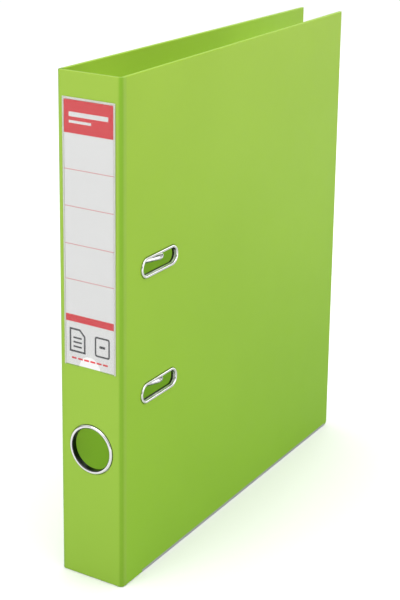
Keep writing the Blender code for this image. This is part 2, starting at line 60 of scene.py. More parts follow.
def node_box(name):
    """A node's lowest and highest corners in millimetres."""
    low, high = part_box(name)
    return low / MM, high / MM


def joint_point(name):
    """A point on a joint's axis in millimetres."""
    for joint in frame["joints"]:
        if joint["name"] == name:
            return Vector(joint["pos_m"]) / MM
    raise KeyError(name)


SPINE_LOW, SPINE_HIGH = node_box("spine_board")
BACK_LOW, BACK_HIGH = node_box("back_board")
SPINE_Y = SPINE_LOW.y
HEIGHT = SPINE_HIGH.z
BOARD = SPINE_HIGH.y - SPINE_LOW.y
HALF_WIDTH = -BACK_LOW.x
DEPTH = BACK_HIGH.y - SPINE_Y
SPINE_HALF = SPINE_HIGH.x
COVER_START = BACK_LOW.y - SPINE_Y
COVER_AXIS = joint_point("front_cover_hinge")
AXIS_DEPTH = COVER_AXIS.y - SPINE_Y
LEAN = math.radians(2.51)
MIDDLE_Z = HEIGHT / 2
HOLE_SPACING = 80.0
LOOP_Z = (MIDDLE_Z - HOLE_SPACING / 2, MIDDLE_Z + HOLE_SPACING / 2)


def spot(x, y, z):
    """A point of the file in metres, from millimetres with y counted from the spine's outer face."""
    return Vector((x, y + SPINE_Y, z)) * MM


# Directions that a flat outline's own x, y and thickness take in the file.
FACING_X = Matrix(((0, 0, 1), (1, 0, 0), (0, 1, 0)))
FACING_Y = Matrix(((1, 0, 0), (0, 0, -1), (0, 1, 0)))
FACING_Z = Matrix(((0, 1, 0), (1, 0, 0), (0, 0, -1)))
UP_X = Vector((1, 0, 0))
OUT_Y = Vector((0, -1, 0))
UP_Z = Vector((0, 0, 1))
COVER_LEAN = (
    Matrix.Translation(COVER_AXIS * MM)
    @ Matrix.Rotation(LEAN, 4, "Z")
    @ Matrix.Translation(-COVER_AXIS * MM)
)


# ---------------------------------------------------------------- materials

class Shader:
    """A Principled material under construction."""

    def __init__(self, name):
        self.material = bpy.data.materials.new(name)
        self.material.use_nodes = True
        self.tree = self.material.node_tree
        self.surface = self.tree.nodes["Principled BSDF"]
        self.where = self.node("ShaderNodeTexCoord").outputs["Object"]

    def node(self, kind, **settings):
        """A new node; each setting is an input's value or, failing that, a property."""
        made = self.tree.nodes.new(kind)
        for key, value in settings.items():
            if key in made.inputs:
                made.inputs[key].default_value = value
            else:
                setattr(made, key, value)
        return made

    def link(self, output, socket):
        self.tree.links.new(output, socket)

    def set(self, **values):
        """Sets the surface's inputs, an underscore standing for a space."""
        for key, value in values.items():
            self.surface.inputs[key.replace("_", " ")].default_value = value

    def noise(self, scale, detail=2.0, vector=None):
        """A noise from 0 to 1 over the object's coordinates."""
        made = self.node("ShaderNodeTexNoise", Scale=scale, Detail=detail)
        self.link(vector or self.where, made.inputs["Vector"])
        return made.outputs["Fac"]

    def stretched(self, x, y, z):
        """The object's coordinates scaled along each axis."""
        made = self.node("ShaderNodeMapping")
        made.inputs["Scale"].default_value = (x, y, z)
        self.link(self.where, made.inputs["Vector"])
        return made.outputs["Vector"]

    def ramp(self, value, low, high):
        """A value from 0 to 1 carried to a range."""
        made = self.node("ShaderNodeMapRange")
        made.inputs["To Min"].default_value = low
        made.inputs["To Max"].default_value = high
        self.link(value, made.inputs["Value"])
        return made.outputs["Result"]

    def math(self, operation, one, two):
        """Arithmetic on two sockets or numbers."""
        made = self.node("ShaderNodeMath", operation=operation)
        for socket, value in zip(made.inputs, (one, two)):
            if isinstance(value, (int, float)):
                socket.default_value = value
            else:
                self.link(value, socket)
        return made.outputs["Value"]

    def colours(self, value, *stops):
        """A colour ramp over (place, colour) stops."""
        made = self.node("ShaderNodeValToRGB")
        ramp = made.color_ramp
        while len(ramp.elements) < len(stops):
            ramp.elements.new(0.5)
        for element, (place, colour) in zip(ramp.elements, stops):
            element.position = place
            element.color = (*colour, 1.0)
        self.link(value, made.inputs["Fac"])
        return made.outputs["Color"]

    def bump(self, height, distance, strength=1.0, below=None):
        """A normal raised by a height, on top of another normal where one is given."""
        made = self.node("ShaderNodeBump")
        made.inputs["Distance"].default_value = distance
        made.inputs["Strength"].default_value = strength
        self.link(height, made.inputs["Height"])
        if below is not None:
            self.link(below, made.inputs["Normal"])
        return made.outputs["Normal"]


# The colour sockets of a Mix node: both inputs and the output.
MIX_A, MIX_B, MIX_OUT = 6, 7, 2
WHITE = (1.0, 1.0, 1.0)
FOIL_SHINE = 0.22
FOIL_ROUGHNESS = 0.42
GRAIN_SCALE = 600.0
GRAIN_DEPTH = 0.00005
RIPPLE_SCALE = 22.0
RIPPLE_DEPTH = 0.0006
METAL_RELIEF = 0.00001
PAPER_RELIEF = 0.00002
FILM_RELIEF = 0.0003


def foil_material(name, light, dark, foot, fold_painted_shade=None, levels=()):
    """Embossed polypropylene foil: a cross grain, painted light that leaves it paler at the top and darker
    and greener towards its foot, and painted shade in its folds.
    """
    foil = Shader(name)
    foil.set(Specular_IOR_Level=FOIL_SHINE)
    tone = foil.noise(9.0, 3.0)
    # Painted light falloff: the colour is multiplied by a ramp over height, from the foot tint at the bottom
    # to white at the top.
    above = foil.node("ShaderNodeSeparateXYZ")
    foil.link(foil.node("ShaderNodeNewGeometry").outputs["Position"], above.inputs["Vector"])
    rise = foil.math("DIVIDE", above.outputs["Z"], HEIGHT * MM)
    tint = foil.node("ShaderNodeMix", data_type="RGBA", blend_type="MULTIPLY")
    tint.inputs["Factor"].default_value = 1.0
    foil.link(foil.colours(tone, (0.35, dark), (0.65, light)), tint.inputs[MIX_A])
    foil.link(foil.colours(rise, (0.0, foot), (1.0, WHITE)), tint.inputs[MIX_B])
    colour = tint.outputs[MIX_OUT]
    # Painted shade in the fold: a darker colour mixed in round the corner, strongest where the fold turns.
    if fold_painted_shade is not None:
        axes = foil.node("ShaderNodeSeparateXYZ")
        foil.link(foil.where, axes.inputs["Vector"])
        across = foil.math("ABSOLUTE", axes.outputs["X"], 0.0)
        along = foil.math("ADD", across, axes.outputs["Y"])
        turn = foil.node("ShaderNodeMapRange")
        turn.inputs["From Min"].default_value = (SPINE_HALF + SPINE_Y + FOLD_PAINTED_SHADE_START) * MM
        turn.inputs["From Max"].default_value = (SPINE_HALF + SPINE_Y + FOLD_PAINTED_SHADE_END) * MM
        foil.link(along, turn.inputs["Value"])
        greys = [(place, (level, level, level)) for place, level in levels]
        bent = foil.colours(turn.outputs["Result"], *greys)
        mix = foil.node("ShaderNodeMix", data_type="RGBA")
        foil.link(bent, mix.inputs["Factor"])
        foil.link(colour, mix.inputs[MIX_A])
        mix.inputs[MIX_B].default_value = (*fold_painted_shade, 1.0)
        colour = mix.outputs[MIX_OUT]
    foil.link(colour, foil.surface.inputs["Base Color"])
    grains = []
    for flip in (1.0, -1.0):
        wave = foil.node("ShaderNodeTexWave", bands_direction="DIAGONAL", Scale=GRAIN_SCALE)
        wave.inputs["Distortion"].default_value = 1.2
        wave.inputs["Detail Scale"].default_value = 1.5
        foil.link(foil.stretched(1.0, 1.0, flip), wave.inputs["Vector"])
        grains.append(wave.outputs["Fac"])
    weave = foil.math("MULTIPLY", grains[0], grains[1])
    fine = foil.bump(weave, GRAIN_DEPTH, 0.55)
    waves = foil.bump(foil.noise(RIPPLE_SCALE, 1.0), RIPPLE_DEPTH, 0.35, fine)
    foil.link(waves, foil.surface.inputs["Normal"])
    rough = foil.math("ADD", foil.ramp(weave, 0.05, -0.05), foil.ramp(foil.noise(60.0), -0.03, 0.03))
    foil.link(foil.math("ADD", rough, FOIL_ROUGHNESS), foil.surface.inputs["Roughness"])
    return foil.material


def metal_material(name, colour, roughness, streaks, relief):
    """Plated steel with faint drawing marks and a few smudges."""
    metal = Shader(name)
    metal.set(Metallic=1.0)
    tint = metal.noise(140.0, 3.0)
    darker = tuple(0.93 * part for part in colour)
    metal.link(metal.colours(tint, (0.3, darker), (0.7, colour)), metal.surface.inputs["Base Color"])
    marks = metal.noise(500.0, 2.0, metal.stretched(1.0, 1.0, streaks))
    rough = metal.ramp(marks, roughness * 0.75, roughness * 1.35)
    metal.link(rough, metal.surface.inputs["Roughness"])
    metal.link(metal.bump(marks, METAL_RELIEF, relief), metal.surface.inputs["Normal"])
    return metal.material


def paper_material(name, colour, speck):
    """Uncoated card with a faint fibre grain."""
    paper = Shader(name)
    paper.set(Roughness=0.75, Specular_IOR_Level=0.3)
    fibre = paper.noise(900.0, 4.0)
    darker = tuple(part * (1.0 - speck) for part in colour)
    paper.link(paper.colours(fibre, (0.35, darker), (0.6, colour)), paper.surface.inputs["Base Color"])
    paper.link(paper.bump(fibre, PAPER_RELIEF, 0.5), paper.surface.inputs["Normal"])
    return paper.material


def film_material(name, colour, alpha, roughness):
    """Clear or frosted polypropylene film with a faint ripple."""
    film = Shader(name)
    film.set(Base_Color=(*colour, 1.0), Roughness=roughness, Alpha=alpha, Specular_IOR_Level=0.3)
    film.link(film.bump(film.noise(45.0, 1.0), FILM_RELIEF, 0.25), film.surface.inputs["Normal"])
    return film.material


# Each foil's lighter tone, darker tone and tint at the foot, the last a painted shade that darkens the foil
# towards its foot and leaves its top paler.
COVER_TONES_WITH_PAINTED_SHADE = (0.345, 0.55, 0.038), (0.33, 0.53, 0.035), (0.82, 1.0, 0.68)
# The spine's tones are a paler, bluer copy of the covers': painted sheen for the light on its side. Its foot
# tint is painted shade, as on the covers.
SPINE_TONES_WITH_PAINTED_LIGHT = (0.345, 0.53, 0.060), (0.33, 0.515, 0.056), (0.94, 1.04, 0.86)
# Where a fold's painted shade begins and ends, in millimetres round the corner from the spine board's edge.
FOLD_PAINTED_SHADE_START = -0.4
FOLD_PAINTED_SHADE_END = 7.0
# Each fold's painted shade colour, and how strong it is along that way.
FOLD_PAINTED_SHADES = {
    "front": ((0.23, 0.445, 0.026), ((0.0, 0.0), (0.22, 1.0), (0.50, 1.0), (0.70, 0.45), (1.0, 0.3))),
    "back": ((0.15, 0.33, 0.022), ((0.0, 0.0), (0.28, 0.3), (0.38, 1.0), (0.56, 1.0), (1.0, 0.2))),
}
FOIL = foil_material("lime_foil", *COVER_TONES_WITH_PAINTED_SHADE)
# The spine's copy of the foil, with painted sheen.
FOIL_SPINE_PAINTED_SHEEN = foil_material("lime_foil_spine_painted_sheen", *SPINE_TONES_WITH_PAINTED_LIGHT)
# The creases' foils, darkened with painted shade along their folds.
FOIL_CREASE_PAINTED_SHADE = {
    side: foil_material(f"lime_foil_{side}_crease", *SPINE_TONES_WITH_PAINTED_LIGHT, fold_painted_shade, levels)
    for side, (fold_painted_shade, levels) in FOLD_PAINTED_SHADES.items()
}
NICKEL = metal_material("bright_nickel", (0.88, 0.88, 0.89), 0.08, 1.0, 0.02)
# A near-black copy of the nickel: painted shade and painted dark reflection inside the rims' barrels.
NICKEL_PAINTED_SHADE = metal_material("painted_shade_nickel", (0.07, 0.07, 0.075), 0.30, 1.0, 0.05)
NICKEL_SATIN = metal_material("satin_nickel", (0.95, 0.95, 0.95), 0.50, 1.0, 0.05)
ZINC = metal_material("zinc_steel", (0.62, 0.63, 0.65), 0.30, 0.08, 0.25)
SPRING = metal_material("spring_steel", (0.34, 0.35, 0.38), 0.28, 0.08, 0.25)
PAPER = paper_material("label_paper", (0.90, 0.90, 0.89), 0.03)
INK_RED = paper_material("red_print", (0.80, 0.018, 0.028), 0.05)
INK_PINK = paper_material("rule_print", (0.80, 0.30, 0.30), 0.04)
INK_GREY = paper_material("grey_print", (0.055, 0.055, 0.06), 0.10)
FILM = film_material("clear_film", (0.35, 0.36, 0.37), 0.11, 0.12)
WELD = film_material("welded_film", (0.90, 0.89, 0.82), 0.80, 0.32)


# ---------------------------------------------------------------- shapes

def add_object(name, data, matrix=None):
    """Links a mesh to the scene as an object."""
    obj = bpy.data.objects.new(name, data)
    bpy.context.scene.collection.objects.link(obj)
    if matrix is not None:
        obj.matrix_world = matrix
    return obj


WELD_DISTANCE = 1e-7
SMOOTH_ANGLE = 40.0
SMOOTH_ANGLE_FINE = 35.0


def from_bmesh(name, shape, matrix=None, angle=SMOOTH_ANGLE):
    """An object from a bmesh, smooth where its faces meet gently."""
    data = bpy.data.meshes.new(name)
    bmesh.ops.recalc_face_normals(shape, faces=shape.faces)
    shape.to_mesh(data)
    shape.free()
    data.shade_smooth()
    data.set_sharp_from_angle(angle=math.radians(angle))
    return add_object(name, data, matrix)


def from_curve(name, line, matrix):
    """The welded mesh of a curve."""
    holder = add_object(name + "_line", line, matrix)
    bpy.context.view_layer.update()
    graph = bpy.context.evaluated_depsgraph_get()
    data = bpy.data.meshes.new_from_object(holder.evaluated_get(graph))
    bpy.data.objects.remove(holder)
    bpy.data.curves.remove(line)
    shape = bmesh.new()
    shape.from_mesh(data)
    bmesh.ops.remove_doubles(shape, verts=shape.verts, dist=WELD_DISTANCE)
    bpy.data.meshes.remove(data)
    return from_bmesh(name, shape, matrix)


def arc(centre, radius, start, end, steps):
    """Points along an arc, angles in degrees."""
    points = []
    for step in range(steps + 1):
        angle = math.radians(start + (end - start) * step / steps)
        points.append((centre[0] + radius * math.cos(angle), centre[1] + radius * math.sin(angle)))
    return points


def circle(centre, radius, count=96):
    """A closed round outline."""
    return arc(centre, radius, 0.0, 360.0 * (count - 1) / count, count - 1)


def box_outline(low, high, radius=0.0, steps=8):
    """A rectangle, with round corners where a radius is given."""
    if radius == 0.0:
        return [(low[0], low[1]), (high[0], low[1]), (high[0], high[1]), (low[0], high[1])]
    corners = (
        ((high[0] - radius, low[1] + radius), -90.0),
        ((high[0] - radius, high[1] - radius), 0.0),
        ((low[0] + radius, high[1] - radius), 90.0),
        ((low[0] + radius, low[1] + radius), 180.0),
    )
    points = []
    for centre, start in corners:
        points += arc(centre, radius, start, start + 90.0, steps)
    return points


def stadium(centre, half_run, radius, steps=24):
    """A slot outline, long way along the first direction."""
    right = arc((centre[0] + half_run, centre[1]), radius, -90.0, 90.0, steps)
    left = arc((centre[0] - half_run, centre[1]), radius, 90.0, 270.0, steps)
    return right + left


def plate(name, outlines, thickness, edge, centre, facing, rounds=3):
    """A flat plate with rounded edges: the first outline is its rim and the others are holes."""
    flat = bpy.data.curves.new(name, "CURVE")
    flat.dimensions = "2D"
    flat.fill_mode = "BOTH"
    flat.extrude = (thickness / 2 - edge) * MM
    flat.bevel_depth = edge * MM
    flat.bevel_resolution = rounds
    flat.offset = -edge * MM
    for outline in outlines:
        spline = flat.splines.new("POLY")
        spline.points.add(len(outline) - 1)
        for point, (a, b) in zip(spline.points, outline):
            point.co = (a * MM, b * MM, 0.0, 1.0)
        spline.use_cyclic_u = True
    made = from_curve(name, flat, Matrix.Translation(centre) @ facing.to_4x4())
    normal = facing.to_4x4() @ Vector((0, 0, 1))
    for face in made.data.polygons:
        world = made.matrix_world.to_3x3() @ face.normal
        face.use_smooth = abs(world.dot(normal)) < 0.9999
    return made


def lathe(name, profile, centre, axis, count=96):
    """A turned piece from (radius, height) points; a profile that starts off the axis is a closed ring."""
    shape = bmesh.new()
    verts = [shape.verts.new((radius * MM, 0.0, height * MM)) for radius, height in profile]
    for one, two in zip(verts, verts[1:]):
        shape.edges.new((one, two))
    if profile[0][0] > 0.0:
        shape.edges.new((verts[-1], verts[0]))
    bmesh.ops.spin(
        shape, geom=shape.verts[:] + shape.edges[:], cent=(0, 0, 0), axis=(0, 0, 1),
        angle=math.tau, steps=count, use_merge=True,
    )
    bmesh.ops.remove_doubles(shape, verts=shape.verts, dist=WELD_DISTANCE)
    turn = Vector((0, 0, 1)).rotation_difference(axis).to_matrix().to_4x4()
    return from_bmesh(name, shape, Matrix.Translation(centre) @ turn)


def loft(name, loops, matrix=None, closed=False, angle=SMOOTH_ANGLE):
    """A skin over loops of points in millimetres, capped at both ends unless it closes on itself."""
    shape = bmesh.new()
    rows = [[shape.verts.new(Vector(point) * MM) for point in loop] for loop in loops]
    pairs = list(zip(rows, rows[1:]))
    if closed:
        pairs.append((rows[-1], rows[0]))
    for one, two in pairs:
        for i in range(len(one)):
            j = (i + 1) % len(one)
            shape.faces.new((one[i], one[j], two[j], two[i]))
    if not closed:
        shape.faces.new(rows[0])
        shape.faces.new(rows[-1])
    return from_bmesh(name, shape, matrix, angle)


def slot_ring(name, profile, half_run, centre, facing):
    """A (radius, height) profile carried round a slot's outline."""
    loops = [[(a, b, height) for a, b in stadium((0, 0), half_run, radius)] for radius, height in profile]
    return loft(name, loops, Matrix.Translation(centre) @ facing.to_4x4(), closed=True)


def rounded_path(corners, steps=10):
    """A route through corners given as (point, bend radius), with each bend as an arc."""
    route = [corners[0][0]]
    for (before, _), (here, radius), (after, _) in zip(corners, corners[1:], corners[2:]):
        if radius == 0.0:
            route.append(here)
            continue
        inward = (before - here).normalized()
        outward = (after - here).normalized()
        half = inward.angle(outward) / 2
        reach = radius / math.tan(half)
        middle = here + (inward + outward).normalized() * (radius / math.sin(half))
        start = (here + inward * reach - middle).normalized()
        end = (here + outward * reach - middle).normalized()
        for step in range(steps + 1):
            route.append(middle + start.slerp(end, step / steps) * radius)
    route.append(corners[-1][0])
    return route


def wire(name, route, radius, tip_scale):
    """A round wire along a route in millimetres, both ends narrowed."""
    line = bpy.data.curves.new(name, "CURVE")
    line.dimensions = "3D"
    line.bevel_depth = radius * MM
    line.bevel_resolution = 6
    line.use_fill_caps = True
    spline = line.splines.new("POLY")
    spline.points.add(len(route) - 1)
    for point, place in zip(spline.points, route):
        point.co = (*spot(*place), 1.0)
    spline.points[0].radius = tip_scale
    spline.points[-1].radius = tip_scale
    return from_curve(name, line, Matrix.Identity(4))


def lean(obj):
    """Tips a piece of the front cover with it."""
    obj.matrix_world = COVER_LEAN @ obj.matrix_world
    return obj


def settle(obj, finish, body, slot, *nodes):
    """Gives a piece its finish and its body, and hides the CAD nodes that it stands for."""
    obj.data.materials.clear()
    obj.data.materials.append(finish)
    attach(obj, body)
    if nodes:
        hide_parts(*nodes)
    return obj


def keep_node(name, finish):
    """Shows a CAD node as it is, in a better material."""
    node = frame["nodes"][name]
    node.data.materials.clear()
    node.data.materials.append(finish)
    node.data.shade_smooth()
    node.data.set_sharp_from_angle(angle=math.radians(SMOOTH_ANGLE_FINE))
    return node


# ---------------------------------------------------------------- covers and spine

EDGE = 0.45
SKIN = 0.03
SEAT = 0.28
FREE_CORNER = 3.0
RING_Z = (node_box("ring_eyelet")[0].z + node_box("ring_eyelet")[1].z) / 2
RING_R = 15.75
RING_BORE = 13.6
SLOT_Y = 41.7
SLOT_RUN = 14.25
SLOT_R = 6.5
SLOT_BORE = 4.7
RIM_SEAT = 0.2
RIVET_HOLE = 1.9
RIVETS = [
    ((low.y + high.y) / 2 - SPINE_Y, (low.z + high.z) / 2)
    for low, high in (node_box(f"rivet_{number}") for number in range(1, 5))
]


def cover_outline():
    """A cover's rim as (y, z), its lower free corner rounded."""
    corner = arc((DEPTH - FREE_CORNER, FREE_CORNER), FREE_CORNER, -90.0, 0.0, 10)
    return [(COVER_START, 0.0)] + corner + [(DEPTH, HEIGHT), (COVER_START, HEIGHT)]


def front_cover():
    """The front cover's foil-wrapped board with its two slots."""
    holes = [stadium((SLOT_Y, z), SLOT_RUN, SLOT_R + RIM_SEAT) for z in LOOP_Z]
    middle = spot(HALF_WIDTH - (BOARD + SKIN) / 2, 0.0, 0.0)
    board = plate("front_cover_panel", [cover_outline()] + holes, BOARD - SKIN, EDGE, middle, FACING_X)
    settle(lean(board), FOIL, "front_cover", "cover_foil", "front_board")


def back_cover():
    """The back cover's foil-wrapped board, pierced for its rivets."""
    holes = [circle(place, RIVET_HOLE, 24) for place in RIVETS]
    middle = spot(-HALF_WIDTH + (BOARD + SKIN) / 2, 0.0, 0.0)
    board = plate("back_cover_panel", [cover_outline()] + holes, BOARD - SKIN, EDGE, middle, FACING_X)
    settle(board, FOIL, "back_cover", "cover_foil", "back_board")


def spine():
    """The spine's foil-wrapped board with its finger hole."""
    rim = box_outline((-SPINE_HALF, 0.0), (SPINE_HALF, HEIGHT))
    hole = circle((0.0, RING_Z), RING_R + SEAT)
    middle = spot(0.0, (BOARD + SKIN) / 2, 0.0)
    board = plate("spine_panel", [rim, hole], BOARD - SKIN, EDGE, middle, FACING_Y)
    settle(board, FOIL_SPINE_PAINTED_SHEEN, "spine", "cover_foil", "spine_board")


CORNER_R = 2.5
LAP = 0.6
LAP_THICK = 0.05
STEP = 0.02
CREASE_THICK = BOARD - 0.05
CREASE_SKIN = 0.3
# The pressed groove, as (distance before the cover's board, depth).
GROOVE = ((0.9, 0.0), (0.6, 0.03), (0.45, 0.07), (0.35, 0.08), (0.25, 0.07), (0.1, 0.03), (STEP, 0.0))
LEAN_RUN = 2.5
CREASE_LEVELS = 24


def crease_path():
    """The foil's way round the corner: (x, y, outward direction, thickness) from the spine to the cover."""
    turn = (HALF_WIDTH - CORNER_R, CORNER_R)
    path = [(SPINE_HALF - LAP, 0.0, -90.0, LAP_THICK), (SPINE_HALF - STEP, 0.0, -90.0, CREASE_SKIN)]
    path.append((SPINE_HALF + STEP, 0.0, -90.0, CREASE_THICK))
    for angle in range(-90, 1, 6):
        x, y = arc(turn, CORNER_R, angle, angle, 1)[0]
        path.append((x, y, float(angle), CREASE_THICK))
    for before, sink in GROOVE:
        path.append((HALF_WIDTH - sink, COVER_START - before, 0.0, CREASE_THICK - sink))
    path.append((HALF_WIDTH, COVER_START + STEP, 0.0, CREASE_SKIN))
    path.append((HALF_WIDTH, COVER_START + LAP, 0.0, LAP_THICK))
    return path


def crease_section(inset):
    """The crease's outline, drawn in from its faces by the inset."""
    outer, inner = [], []
    for x, y, angle, thickness in crease_path():
        out = Vector((math.cos(math.radians(angle)), math.sin(math.radians(angle))))
        near = min(inset, thickness / 2 - 0.01)
        outer.append(Vector((x, y)) - out * near)
        inner.append(Vector((x, y)) - out * (thickness - near))
    return outer + inner[::-1]


def crease(name, side, tilt, node):
    """The foil that turns the corner from the spine to a cover, with a groove pressed beside the cover."""
    angles = [math.radians(angle) for angle in (0, 30, 60, 90)]
    rounded = [(EDGE * (1 - math.sin(angle)), EDGE * (1 - math.cos(angle))) for angle in angles]
    levels = rounded + [(0.0, HEIGHT * part / CREASE_LEVELS) for part in range(1, CREASE_LEVELS)]
    levels += [(inset, HEIGHT - rise) for inset, rise in reversed(rounded)]
    loops = []
    for inset, z in levels:
        loop = []
        for x, y in crease_section(inset):
            flat = spot(x, y, z)
            share = min(max((y - AXIS_DEPTH) / LEAN_RUN, 0.0), 1.0) if tilt else 0.0
            leant = flat.lerp(COVER_LEAN @ flat, share)
            loop.append((side * leant.x / MM, leant.y / MM, leant.z / MM))
        loops.append(loop)
    made = loft(name, loops)
    # The crease's foil carries painted shade along its fold.
    made.data.materials.append(FOIL_CREASE_PAINTED_SHADE[name.split("_")[0]])
    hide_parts(node)
    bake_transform(made)


def creases():
    """Both foil hinges, each turning the corner between its two boards."""
    crease("front_crease", 1, True, "front_hinge_foil")
    crease("back_crease", -1, False, "back_hinge_foil")


# ---------------------------------------------------------------- metal trims

# Under a rim's bead, its wall starts this far below the board's face.
WALL_TOP = -0.3
RING_PROUD = 0.75
RING_DEEP = BOARD + 0.9
# Inside this radius the ring's barrel is painted near black as shade.
RING_SHADE_R = RING_BORE + 0.6
RING_FLARE = 0.35
RING_WALL = 0.4
RING_WASHER = (16.6, 14.6)
SLOT_PROUD = 0.88
SLOT_DEEP = BOARD + 0.45
SLOT_WALL = 0.35
SLOT_MOUTH = SLOT_BORE + 0.2
SLOT_WAIST = SLOT_BORE + 0.15
SLOT_END = SLOT_BORE + 0.1
# A slot's wall is painted near black as shade below SLOT_FOOT and above SLOT_SHADE_ABOVE.
SLOT_FOOT = -1.8
SLOT_SHADE_ABOVE = 2.2
SLOT_FRAME = (6.6, 5.5)
BACKING_TOP = -BOARD - 0.12
BACKING_LOW = -BOARD - 0.5
BACKING_CHAMFER = 0.12


def round_bead(outer, bore, proud, end):
    """A bead's round top as (radius, height), from just under its outer edge to an end angle in degrees."""
    middle, half = (outer + bore) / 2, (outer - bore) / 2
    angles = [math.radians(angle) for angle in range(-30, end + 1, 15)]
    return [(middle + half * math.cos(angle), proud * math.sin(angle)) for angle in angles]


def ring_section():
    """The finger ring's closed section as (radius, height): a round bead, then a barrel with a flared end."""
    bore, low, flare = RING_BORE, -RING_DEEP, RING_FLARE
    section = round_bead(RING_R, bore, RING_PROUD, 180)
    section += [(bore, low + flare)] + arc((bore + flare, low + flare), flare, 180.0, 270.0, 5)
    section += [(bore + flare + RING_WALL, low), (bore + RING_WALL, low + flare + RING_WALL)]
    return section + [(bore + RING_WALL, WALL_TOP)]


def shade_where(obj, pick, *finishes):
    """Gives each face the finish that a rule picks by the face's centre in millimetres."""
    for finish in finishes:
        obj.data.materials.append(finish)
    for face in obj.data.polygons:
        face.material_index = pick(face.center / MM)


def backing(outer, bore):
    """The flat washer section behind a board."""
    top, low, chamfer = BACKING_TOP, BACKING_LOW, BACKING_CHAMFER
    section = [(outer, top), (outer, low + chamfer), (outer - chamfer, low)]
    return section + [(bore + chamfer, low), (bore, low + chamfer), (bore, top)]


def finger_ring():
    """The bright ring of the finger hole and the washer behind it."""
    centre = spot(0.0, 0.0, RING_Z)
    ring = lathe("finger_ring", ring_section(), centre, OUT_Y, 128)
    settle(ring, NICKEL, "spine", "nickel_plate", "ring_eyelet")
    # Painted shade: the barrel's faces inside RING_SHADE_R take the near-black nickel.
    shade_where(ring, lambda at: int(math.hypot(at.x, at.y) < RING_SHADE_R), NICKEL_PAINTED_SHADE)
    washer = lathe("finger_ring_washer", backing(*RING_WASHER), centre, OUT_Y)
    settle(washer, ZINC, "spine", "zinc_steel", "ring_washer")


def slot_shade(at):
    """A slot rim's finish: a bright bead, a satin wall, and painted shade at the wall's foot and upper side.
    """
    if at.z > WALL_TOP:
        return 0
    return 1 if at.z < SLOT_FOOT or at.y > SLOT_SHADE_ABOVE else 2


def slot_section():
    """A slot rim's closed section: a round bead, then a barrel that narrows inwards."""
    waist, low, wall = -0.5 * SLOT_DEEP, -SLOT_DEEP, SLOT_WALL
    section = round_bead(SLOT_R, SLOT_MOUTH, SLOT_PROUD, 165)
    section += [(SLOT_MOUTH - 0.08, -0.25), (SLOT_WAIST, waist), (SLOT_BORE, low + 0.3), (SLOT_END, low)]
    return section + [(SLOT_END + wall, low), (SLOT_WAIST + wall, waist), (SLOT_MOUTH + wall, WALL_TOP)]


def slot_rims():
    """The rolled rims of the two slots and the frames behind them."""
    for side, z in zip(("lower", "upper"), LOOP_Z):
        centre = spot(HALF_WIDTH, SLOT_Y, z)
        rim = slot_ring(f"slot_rim_{side}", slot_section(), SLOT_RUN, centre, FACING_X)
        settle(lean(rim), NICKEL, "front_cover", "nickel_plate", f"slot_eyelet_{side}")
        # Painted shade at each wall's foot and upper side, as slot_shade picks it.
        shade_where(rim, slot_shade, NICKEL_PAINTED_SHADE, NICKEL_SATIN)
        frame_ring = slot_ring(f"slot_frame_{side}", backing(*SLOT_FRAME), SLOT_RUN, centre, FACING_X)
        settle(lean(frame_ring), ZINC, "front_cover", "zinc_steel", f"slot_backing_{side}")


# ---------------------------------------------------------------- label

POCKET_LOW, POCKET_HIGH = node_box("label_pocket")
CARD_LOW, CARD_HIGH = node_box("label_card")
POCKET_OUT = SPINE_Y - POCKET_LOW.y
CARD_OUT = SPINE_Y - CARD_LOW.y
NOTCH = 7.7
FILM_HALF = POCKET_HIGH.x - 0.6
FILM_THICK = 0.16
FILM_SINK = 0.1
WELD_WIDTH = 1.0
WELD_TOP = 1.25
WELD_BELOW = 0.3
CARD_TOP = CARD_HIGH.z + 0.5
INK_THICK = 0.03

# The plain print: sizes across and down the card, measured down from the CAD card's top edge.
BLOCK_FOOT = 19.2
BLOCK_BARS = (((-14.0, 6.6), (14.0, 9.4)), ((-14.0, 11.6), (2.0, 13.2)))
RULES_DOWN = (40.5, 62.8, 85.8, 107.7)
RULE_HIGH = 0.45
BAR_DOWN = (129.9, 134.4)
SHEET_RIM = ((-15.0, 138.4), (-7.2, 138.4), (-3.2, 142.4), (-3.2, 153.6), (-15.0, 153.6))
SHEET_BORE = ((-13.8, 139.6), (-7.8, 139.6), (-4.4, 143.0), (-4.4, 152.4), (-13.8, 152.4))
SHEET_LINES_DOWN = (143.8, 146.6, 149.4)
SHEET_LINE = (-12.2, -6.0, 1.1)
DRAWER_RIM = ((3.6, 140.4), (14.6, 153.2), 1.6)
DRAWER_BORE = ((4.7, 141.5), (13.5, 152.1), 0.8)
DRAWER_PULL = ((7.0, 145.8), (11.2, 147.4))
DASH_COUNT = 6
DASH_START = -13.5
DASH_PITCH = 4.6
DASH_LONG = 3.6
DASH_DOWN = (156.8, 157.9)


def label_pocket():
    """The clear film, with its welded rim on three sides and the thumb notch at its mouth."""
    half, low, high = FILM_HALF, POCKET_LOW.z, POCKET_HIGH.z
    notch = arc((0.0, low), NOTCH, 180.0, 0.0, 28)
    rim = [(-half, low)] + notch + [(half, low), (half, high), (-half, high)]
    film = plate("label_film", [rim], FILM_THICK, 0.05, spot(0.0, -POCKET_OUT + FILM_SINK, 0.0), FACING_Y, 1)
    settle(film, FILM, "spine", "pocket_film", "label_pocket")
    inner = half - WELD_WIDTH
    path = [(-half, low), (-inner, low), (-inner, high - WELD_TOP), (inner, high - WELD_TOP)]
    path += [(inner, low), (half, low), (half, high), (-half, high)]
    deep = POCKET_OUT - WELD_BELOW
    weld = plate("label_film_weld", [path], deep, 0.12, spot(0.0, -FILM_SINK - deep / 2, 0.0), FACING_Y, 2)
    settle(weld, WELD, "spine", "pocket_film")


